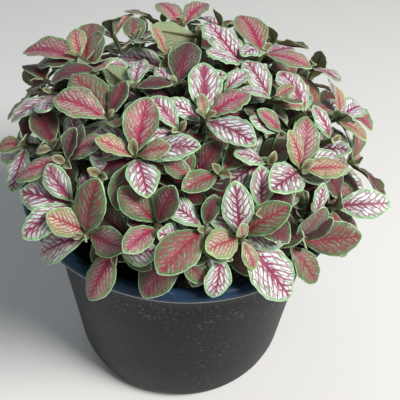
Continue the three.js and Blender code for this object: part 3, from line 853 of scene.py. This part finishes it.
def closed_sheet(rows, columns):
    """The faces of a thin sheet: its upper grid, its lower grid, and its four edges."""
    count = rows * columns
    faces = strips(rows, columns, 0, False) + strips(rows, columns, count, True)
    for i in range(rows - 1):
        a, b = i * columns, (i + 1) * columns
        faces.append((a, count + a, count + b, b))
        a, b = a + columns - 1, b + columns - 1
        faces.append((a, b, count + b, count + a))
    for k in range(columns - 1):
        faces.append((k, k + 1, count + k + 1, count + k))
        a = (rows - 1) * columns + k
        faces.append((a, count + a, count + a + 1, a + 1))
    return faces


def for_both(grid):
    """A value of each upper point, then the same for the points below them."""
    return np.concatenate((grid.ravel(), grid.ravel()))


def draw_habit(length, fineness):
    """How one blade grew: its waves, its ruffle and quilting, and its number of veins."""
    return {
        "wave": growth.uniform(0, 2 * math.pi, 12),
        "ruffle": growth.uniform(0.2, 0.55) * min(1, length / 20),
        "curl": growth.uniform(-0.08, 0.18),
        "sway": growth.uniform(-0.018, 0.018),
        "quilt": growth.uniform(0.14, 0.24) * min(1, length / 20),
        "seed": growth.uniform(0, 50),
        "veins": (5.0 + length / 9 + growth.uniform(-0.4, 0.4)) * (1 + 0.25 * (fineness - 1)),
    }


def uneven_width(habit, at, right):
    wave = habit["wave"]
    coarse = np.sin(19 * at + wave[0] + right * wave[1])
    small = np.sin(43 * at + wave[2] + right * wave[3])
    return blade_width(at) * (1 + 0.02 * coarse + 0.012 * small)


def vein_phase(habit, at, y, length):
    """Counts the side veins passed; they sweep out towards the tip in uneven curves."""
    wave = habit["wave"]
    out = np.abs(y) / length
    phase = habit["veins"] * (at - 1.15 * out - 0.9 * out * out)
    phase = phase + 0.16 * np.sin(9 * at + 14 * y / length + wave[4])
    return phase + 0.10 * np.sin(21 * at - 9 * y / length + wave[5])


def blade_height(leaf, way, habit, at, side, width, y, phase):
    """The lie of the whole blade, the quilting between its veins and its ruffled edge."""
    wave, ruffle, right = habit["wave"], habit["ruffle"], np.sign(side)
    half_width = way["half_width"]
    height = way["length"] * (leaf["arch"] * np.sin(math.pi * at) - leaf["droop"] * at * at)
    height = height + leaf["fold"] * (np.sqrt(y * y + 0.36) - 0.6)
    inner = 1 - np.abs(side) ** 5
    from_rib = 1 - np.exp(-((y / 1.3) ** 2))
    pillows = np.abs(np.sin(math.pi * (phase + 0.5 * (right > 0)))) ** 0.7 - 0.5
    height = height + habit["quilt"] * pillows * inner * from_rib
    height = height - 0.26 * np.exp(-((y / 0.75) ** 2)) * (1 - at)
    height = height + ruffle * np.abs(side) ** 3 * width * np.sin(17 * at + wave[6] + right * wave[7])
    height = height + 0.4 * ruffle * np.abs(side) ** 3 * np.sin(41 * at + wave[8] + right * wave[9])
    height = height - habit["curl"] * side ** 4 * width * half_width
    return height + 0.5 * np.sin(5 * at + wave[10]) * np.sin(2.2 * side + wave[11]) * width


def from_outline(at, width, y, way):
    """How far each point is from the blade's outline."""
    half_width, length = way["half_width"], way["length"]
    middle_column = y.shape[1] // 2
    slope = np.gradient(width[:, middle_column] * half_width, at[:, 0] * length)[:, None]
    edge = (width * half_width - np.abs(y)) / np.sqrt(1 + slope * slope)
    return np.minimum(edge, (1 - at) * length * 0.8)


def grow_blade(made, leaf, way, look, rows, sides, painted_shade_factor=1):
    """Grows a thin blade whose points know their place on it, and gives its midrib's line."""
    tissue, veins, margin, pale, flush, fineness = LEAF_LOOKS[look]
    length = way["length"]
    habit = draw_habit(length, fineness)
    u = np.linspace(0, 1, rows)
    eased = 0.6 * u + 0.4 * (0.5 - 0.5 * np.cos(math.pi * u))
    at = (BLADE_START + (BLADE_END - BLADE_START) * eased)[:, None]
    side = np.array([-s for s in reversed(sides)] + [0] + list(sides))[None, :]
    width = uneven_width(habit, at, np.sign(side))
    y = side * width * way["half_width"]
    phase = vein_phase(habit, at, y, length)
    height = blade_height(leaf, way, habit, at, side, width, y, phase)
    along = (at + leaf["skew"] * side * width) * length
    across = y + habit["sway"] * length * np.sin(math.pi * at)
    middle = (leaf["base"] + along[..., None] * way["along"] + across[..., None] * way["across"]
              + height[..., None] * way["facing"])
    half = 0.5 * (EDGE_THICKNESS + (MIDDLE_THICKNESS - EDGE_THICKNESS) * (1 - side ** 4))
    half = half[..., None] * way["facing"]
    points = np.concatenate(((middle + half).reshape(-1, 3), (middle - half).reshape(-1, 3)))

    at_each = for_both(np.broadcast_to(at, y.shape))
    outward = for_both(np.abs(y) / length * length * fineness / 2.6)
    seeds = np.full(len(points), habit["seed"])
    # The colours are darkened by painted_shade_factor: painted shade on the lower leaves, 1 elsewhere.
    shades = {
        "blade": np.stack((at_each, for_both(y / length), for_both(from_outline(at, width, y, way))), 1),
        "net": np.stack((for_both(phase), outward, seeds), 1),
        "tissue": [tissue * painted_shade_factor * growth.uniform(0.85, 1.15)],
        "veins": [veins * painted_shade_factor * growth.uniform(0.85, 1.12)],
        "margin": [margin * painted_shade_factor * growth.uniform(0.88, 1.08)],
    }
    pales = np.full(len(points), pale * growth.uniform(0.8, 1))
    flushes = np.full(len(points), flush * growth.uniform(0.75, 1.2))
    shades["amounts"] = np.stack((pales, flushes, np.repeat((0.0, 1.0), y.size)), 1)
    made.add(points, closed_sheet(*y.shape), shades)
    return middle[:, y.shape[1] // 2]


NO_STEMS_WAY = (0.31, 0.52, 0.8)


def grow_rod(made, centres, radii, sides, colour):
    """A round rod through the centres, closed at both ends."""
    centres = np.array(centres)
    way = np.gradient(centres, axis=0)
    way /= np.linalg.norm(way, axis=1)[:, None]
    across = np.cross(way[0], NO_STEMS_WAY)
    angles = 2 * math.pi * np.arange(sides) / sides
    points = []
    for centre, along, radius in zip(centres, way, radii):
        across = unit(across - along * across.dot(along))
        third = np.cross(along, across)
        ring = np.cos(angles)[:, None] * across + np.sin(angles)[:, None] * third
        points.append(centre + radius * ring)
    points = np.concatenate(points)
    faces = tube_faces(len(centres), sides)
    faces.append(tuple(reversed(range(sides))))
    faces.append(tuple(range(len(points) - sides, len(points))))
    plain = {
        "blade": [(0.5, 0.5, 9.0)],
        "net": [(0.0, 0.0, growth.uniform(0, 50))],
        "tissue": [colour],
        "veins": [colour],
        "margin": [colour],
        "amounts": [(0.0, 0.0, 0.0)],
    }
    made.add(points, faces, plain)


def grow_stalk(made, leaf, way, spine, look):
    """The blade's stalk, which carries on beneath it as a raised rib."""
    at = np.linspace(0, STALK_REACH, STALK_STATIONS)
    spots = np.linspace(0, 1, len(spine))
    lie_under = np.array([[np.interp(a, spots, spine[:, c]) for c in range(3)] for a in at])
    radii = STALK_RADIUS * (1 - at) ** 0.8 * min(1, way["length"] / 22) + LEAST_STALK
    lie_under = lie_under - (radii * 0.55 + 0.08)[:, None] * way["facing"]
    lie_under[0] = leaf["base"] - 1.0 * way["along"] - 0.2 * way["facing"]
    tissue, veins = LEAF_LOOKS[look][:2]
    grow_rod(made, lie_under, radii, STALK_SIDES, 0.5 * STEM_COLOUR + 0.2 * veins + 0.3 * tissue)


def grow_stem(made, shoot):
    """The round stem down into the mix, thicker at its joints, and the hairs on it."""
    route = shoot["route"]
    backs = np.linspace(0, route["reach"], STEM_STATIONS)
    centres = [shoot["station"](back)[0] for back in backs]
    centres += [route["collar"] - route["rise"] * d for d in STEM_BURIED]
    radii = np.full(len(centres), STEM_THICKNESS)
    radii[:2] = STEM_TIP
    for i, back in enumerate(backs):
        near = min(abs(back - JOINT_LENGTH / 2 - JOINT_LENGTH * joint) for joint in range(4))
        radii[i] += KNUCKLE * max(0, 1 - near / 2)
    grow_rod(made, centres, radii, STEM_SIDES, STEM_COLOUR)
    for _ in range(HAIRS):
        back = growth.uniform(1, 0.9 * route["reach"])
        centre, along = shoot["station"](back)
        out = unit(np.cross(along, growth.normal(size=3)))
        root = centre + out * (STEM_THICKNESS - 0.1)
        tip = root + (out + 0.4 * along) * HAIR_LENGTH * growth.uniform(0.6, 1.1)
        grow_rod(made, [root, 0.5 * (root + tip), tip], HAIR_RADII, 3, HAIR_COLOUR)


TEST_PLACES = [(at, side) for at in (0.25, 0.45, 0.65, 0.85) for side in (-0.75, 0, 0.75)] + [(1, 0)]
taken = []
for shoot in shoots:
    for leaf in shoot["leaves"]:
        taken += [blade_point(leaf, leaf["way"], at, side) for at, side in TEST_PLACES]
taken = np.array(taken)


def is_clear(leaf, way, room):
    """Whether a new leaf keeps off the rim and this far from the leaves in place already."""
    for at, side in TEST_PLACES:
        point = blade_point(leaf, way, at, side)
        if point[2] < OVER_RIM and math.hypot(point[0], point[1]) > WITHIN_RIM:
            return False
        if np.min(np.linalg.norm(taken - point, axis=1)) < room:
            return False
    return True


def grow_bud(made, shoot):
    """Two new leaves that stand folded together at the tip, unless a leaf covers it."""
    turn = shoot["leaves"][0]["turn"] + 90 if shoot["leaves"] else 0
    for half in (0, 180):
        leaf = {
            "base": shoot["tip"] - 0.6 * shoot["axis"],
            "turn": turn + half + growth.uniform(-12, 12),
            "lift": growth.uniform(34, 58),
            "length": BUD_LENGTH * growth.uniform(0.7, 1.2),
            "breadth": 0.95,
            "roll": 0,
            "arch": 0.10,
            "droop": growth.uniform(-0.1, 0.25),
            "fold": growth.uniform(0.3, 0.6),
            "skew": 0,
        }
        way = lie(leaf, shoot, 1, 0, 0)
        inward = unit(shoot["axis"] * math.cos(math.radians(leaf["lift"])))
        way["facing"] = unit(inward - way["along"] * inward.dot(way["along"]))
        way["across"] = np.cross(way["facing"], way["along"])
        if is_clear(leaf, way, BUD_ROOM):
            grow_blade(made, leaf, way, "bud", BUD_ROWS, BUD_SIDES)


def grow_lower_leaves(made, shoot):
    """Smaller pairs further down, which close the mound between its stems; they are older, and their
    colours are darkened as painted shade deep in the mound.
    """
    global taken
    for pair in range(LOWER_PAIRS):
        back = shoot["lowest_joint"] + LOWER_START + LOWER_SPACING * pair
        base, _ = shoot["station"](min(back, shoot["route"]["reach"]))
        turn = growth.uniform(0, 180)
        if base[2] < LOWEST_LEAF:
            break
        for half in (0, 180):
            leaf = {
                "base": base,
                "turn": turn + half + growth.uniform(-15, 15),
                "lift": growth.uniform(0, 16),
                "length": growth.uniform(17, 23),
                "breadth": growth.uniform(0.9, 1.1),
                "roll": growth.uniform(-0.2, 0.2),
                "arch": growth.uniform(0.03, 0.09),
                "droop": growth.uniform(0, 0.08),
                "fold": growth.uniform(0, 0.3),
                "skew": 0,
            }
            look = str(growth.choice(LOWER_LOOKS))
            ways = (
                lie(leaf, shoot, scale, turn_by, lift_by)
                for scale in LOWER_SCALES for turn_by in LOWER_TURNS for lift_by in LOWER_LIFTS
            )
            way = next((way for way in ways if is_clear(leaf, way, LOWER_ROOM)), None)
            if way:
                grow_blade(made, leaf, way, look, LOWER_ROWS, LOWER_SIDES, LOWER_PAINTED_SHADE)
                grown = [blade_point(leaf, way, at, side) for at, side in TEST_PLACES]
                taken = np.concatenate((taken, grown))


class LeafFinish(Finish):
    """One finish for every leaf: each point tells its colours and its place on the blade."""

    def __init__(self, name):
        super().__init__(name)
        self.at, self.aside, self.edge = self.parts(self.told("blade")["Vector"])
        self.phase, self.outward, self.seed = self.parts(self.told("net")["Vector"])
        self.pale, self.flush, self.under = self.parts(self.told("amounts")["Vector"])
        self.tissue = self.told("tissue")["Color"]
        self.veins = self.told("veins")["Color"]
        self.margin = self.told("margin")["Color"]
        self.out = self.maths("ABSOLUTE", self.aside)
        self.mottle = self.clouds(9.0, 14.0, 3.0)

    def told(self, name):
        return self.node("Attribute", attribute_name=name).outputs

    def on_blade(self, x, y):
        return self.node("CombineXYZ", X=x, Y=y, Z=self.seed).outputs[0]

    def clouds(self, lengthwise, crosswise, detail):
        """Clouds that follow the blade and differ from leaf to leaf."""
        place = self.on_blade(self.times(self.at, lengthwise), self.times(self.aside, crosswise))
        return self.noise(place, 1.0, detail)

    def near(self, value, reach, fade):
        """1 up to the reach, then fading out."""
        return self.rest(self.step(self.maths("SUBTRACT", value, reach), 0.0, fade))

    def vein_lines(self):
        """Side veins, the net between them and the midrib, fainter here and there."""
        times, scaled, step, maths = self.times, self.scaled, self.step, self.maths
        # The side veins of the two halves alternate, half a step apart, and thin outwards.
        half_step = times(maths("GREATER_THAN", self.aside, 0.0), 0.5)
        passed = maths("ADD", self.phase, scaled(self.clouds(12.0, 22.0, 2.0), 0.22, half_step))
        from_halfway = maths("ABSOLUTE", maths("SUBTRACT", maths("FRACT", passed), 0.5))
        vein_reach = scaled(step(self.out, 0.0, 0.22), -0.08, 0.13)
        side_veins = self.near(maths("SUBTRACT", 0.5, from_halfway), vein_reach, 0.10)

        # Finer veins close the spaces between them into long cells.
        cells = self.node("TexVoronoi", feature="DISTANCE_TO_EDGE", Scale=1.0, Randomness=0.6)
        self.feed(cells.inputs["Vector"], self.on_blade(times(passed, 1.25), self.outward))
        net = self.rest(step(cells.outputs["Distance"], 0.03, 0.15))

        # The midrib tapers from the base to the tip.
        midrib = self.near(self.out, scaled(self.rest(self.at), 0.020, 0.002), 0.016)
        lines = maths("MAXIMUM", maths("MAXIMUM", side_veins, times(net, 0.85)), midrib)
        unbroken = step(self.clouds(55.0, 75.0, 3.0), 0.30, 0.60)
        return times(lines, scaled(unbroken, 0.24, 0.80))

    def pink_flush(self):
        """The veins' colour as it spreads from the midrib into the blade, in patches."""
        reach = self.times(self.flush, self.maths("SUBTRACT", 1.05, self.at))
        flushed = self.near(self.out, self.scaled(reach, 0.10, -0.07), 0.16)
        return self.times(flushed, self.scaled(self.mottle, 0.9, 0.4))

    def between_veins(self):
        """The tissue, pale in patches, and greener away from the midrib."""
        patchy = self.times(self.step(self.mottle, 0.20, 0.48), self.step(self.at, 0.0, 0.30))
        paleness = self.times(self.pale, patchy)
        greening = self.times(self.step(self.out, 0.05, 0.25), 0.55)
        greening = self.times(greening, self.rest(self.times(paleness, 0.7)))
        return self.mixed(greening, self.mixed(paleness, self.tissue, PALE_PATCH), self.margin)

    def with_margin(self, colour):
        """The margin is green, fades inwards, and ends in a thin pale edge that also carries a painted
        highlight.
        """
        inwards = self.scaled(self.clouds(30.0, 10.0, 2.0), -1.8, self.edge)
        banded = self.rest(self.step(inwards, -0.6, 0.7))
        colour = self.mixed(self.times(banded, 0.95), colour, self.margin)
        # A thin pale line along the very edge, partly a painted highlight.
        rim_and_highlight = self.rest(self.step(self.edge, 0.08, 0.40))
        return self.mixed(self.times(rim_and_highlight, 0.9), colour, self.mixed(0.6, self.margin, PALE_EDGE_AND_HIGHLIGHT))


def netted_leaf():
    blade = LeafFinish("netted leaf")
    lines = blade.vein_lines()
    veined = blade.scaled(blade.pink_flush(), 0.62, blade.times(lines, 0.85))
    colour = blade.mixed(blade.maths("MINIMUM", veined, 0.96), blade.between_veins(), blade.veins)
    colour = blade.with_margin(colour)

    # Beneath, a blade is a dull grey green that only hints at the pattern above; that
    # grey green is made paler with painted light shining through the leaf.
    colour = blade.mixed(blade.under, colour, blade.mixed(0.3, GREY_GREEN_BACK_LIT_THROUGH, colour))
    blade.surface(
        Base_Color=colour,
        Roughness=blade.scaled(blade.mottle, 0.2, 0.25),
        Specular_IOR_Level=0.5,
        Sheen_Weight=0.10,
        Sheen_Roughness=0.45,
        Sheen_Tint=(0.72, 0.80, 1.0),
        Subsurface_Weight=0.35,
        Subsurface_Scale=0.0008,
        Subsurface_Radius=(1.0, 0.9, 0.5),
    )
    skin = blade.noise(blade.place(), 1400.0, 2.0)
    blade.bump(blade.scaled(lines, -1.0, blade.times(skin, 0.35)), 0.6, 0.0003)
    return blade.material


leaf_finish = netted_leaf()
ATTRIBUTE_KINDS = {"blade": "FLOAT_VECTOR", "net": "FLOAT_VECTOR", "amounts": "FLOAT_VECTOR",
                   "tissue": "FLOAT_COLOR", "veins": "FLOAT_COLOR", "margin": "FLOAT_COLOR"}
for shoot in shoots:
    made = Growth()
    grow_stem(made, shoot)
    grow_bud(made, shoot)
    grow_lower_leaves(made, shoot)
    for leaf in shoot["leaves"]:
        spine = grow_blade(made, leaf, leaf["way"], leaf["look"], BLADE_ROWS, BLADE_SIDES)
        grow_stalk(made, leaf, leaf["way"], spine, leaf["look"])
    stem = new_piece(shoot["node"] + "_grown", (np.concatenate(made.points) * MM).tolist(), made.faces)
    for name, rows in made.shades.items():
        shade = stem.data.attributes.new(name, ATTRIBUTE_KINDS[name], "POINT")
        kind = "color" if ATTRIBUTE_KINDS[name] == "FLOAT_COLOR" else "vector"
        shade.data.foreach_set(kind, np.concatenate(rows).astype(float).ravel())
    smooth(stem, LEAF_CREASE)
    stem.data.materials.append(leaf_finish)
    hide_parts(shoot["node"])
    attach(stem, "root")

# ------------------------------------------------------------------ floor, light, camera
# The pot stands on a plain pale studio floor under soft light: a large window-like light
# from behind and to the right, and a weaker one from the front.
FLOOR_SIZE = 3.0
FLOOR_SHADE = (0.80, 0.79, 0.77)
FLOOR_LIGHT = (0.84, 0.83, 0.81)
half = FLOOR_SIZE / 2
floor_corners = [(-half, -half, 0), (half, -half, 0), (half, half, 0), (-half, half, 0)]
floor = new_piece("studio_floor", floor_corners, [(0, 1, 2, 3)])
floor_finish = Finish("pale studio floor")
floor_clouds = floor_finish.node("TexNoise", Scale=3.0, Detail=3.0).outputs["Fac"]
floor_finish.surface(
    Base_Color=floor_finish.mixed(floor_clouds, FLOOR_SHADE, FLOOR_LIGHT), Roughness=0.6
)
floor.data.materials.append(floor_finish.material)


def soft_light(name, place, aim, size, power, colour):
    lamp = bpy.data.lights.new(name, "AREA")
    lamp.shape = "DISK"
    lamp.size = size
    lamp.energy = power
    lamp.color = colour
    held = bpy.data.objects.new(name, lamp)
    held.location = place
    held.rotation_euler = (Vector(aim) - Vector(place)).to_track_quat("-Z", "Y").to_euler()
    bpy.context.scene.collection.objects.link(held)


middle_of_mound = (0, 0, 0.14)
soft_light("key", (0.75, -0.42, 1.10), middle_of_mound, 0.5, 21.5, (1.0, 0.99, 0.97))
soft_light("sky", (-0.45, 0.5, 1.0), middle_of_mound, 0.9, 2.4, (0.82, 0.92, 1.0))
soft_light("front", (-0.5, -1.1, 0.8), middle_of_mound, 0.9, 1.6, (1.0, 0.98, 0.96))
world = bpy.data.worlds.new("soft_room")
world.use_nodes = True
world.node_tree.nodes["Background"].inputs["Color"].default_value = (0.92, 0.95, 1.0, 1)
world.node_tree.nodes["Background"].inputs["Strength"].default_value = 0.075
bpy.context.scene.world = world
bpy.context.scene.view_settings.view_transform = "Standard"

CAMERA_HEIGHT_ANGLE = math.radians(46.9)
CAMERA_PLACE = Vector((0, -0.2083, 0.3146))
CAMERA_YAW = math.radians(1.58)
CAMERA_PITCH = math.radians(1.3)
CAMERA_ROLL = math.radians(1.92)
FOCAL_LENGTH = 50.58
back = Vector((0, -math.cos(CAMERA_HEIGHT_ANGLE), math.sin(CAMERA_HEIGHT_ANGLE)))
across = Vector((1, 0, 0))
upward = back.cross(across)
view = (-back + across * math.tan(CAMERA_YAW) + upward * math.tan(CAMERA_PITCH)).normalized()
across = view.cross(upward).normalized()
upward = across.cross(view)
rolled_across = math.cos(CAMERA_ROLL) * across + math.sin(CAMERA_ROLL) * upward
rolled_upward = -math.sin(CAMERA_ROLL) * across + math.cos(CAMERA_ROLL) * upward
lens = bpy.data.cameras.new("camera")
lens.lens = FOCAL_LENGTH
lens.sensor_width = 36
lens.clip_start = 0.01
camera = bpy.data.objects.new("camera", lens)
camera.matrix_world = Matrix.Translation(CAMERA_PLACE) @ Matrix(
    (rolled_across, rolled_upward, -view)
).transposed().to_4x4()
bpy.context.scene.collection.objects.link(camera)
bpy.context.scene.camera = camera
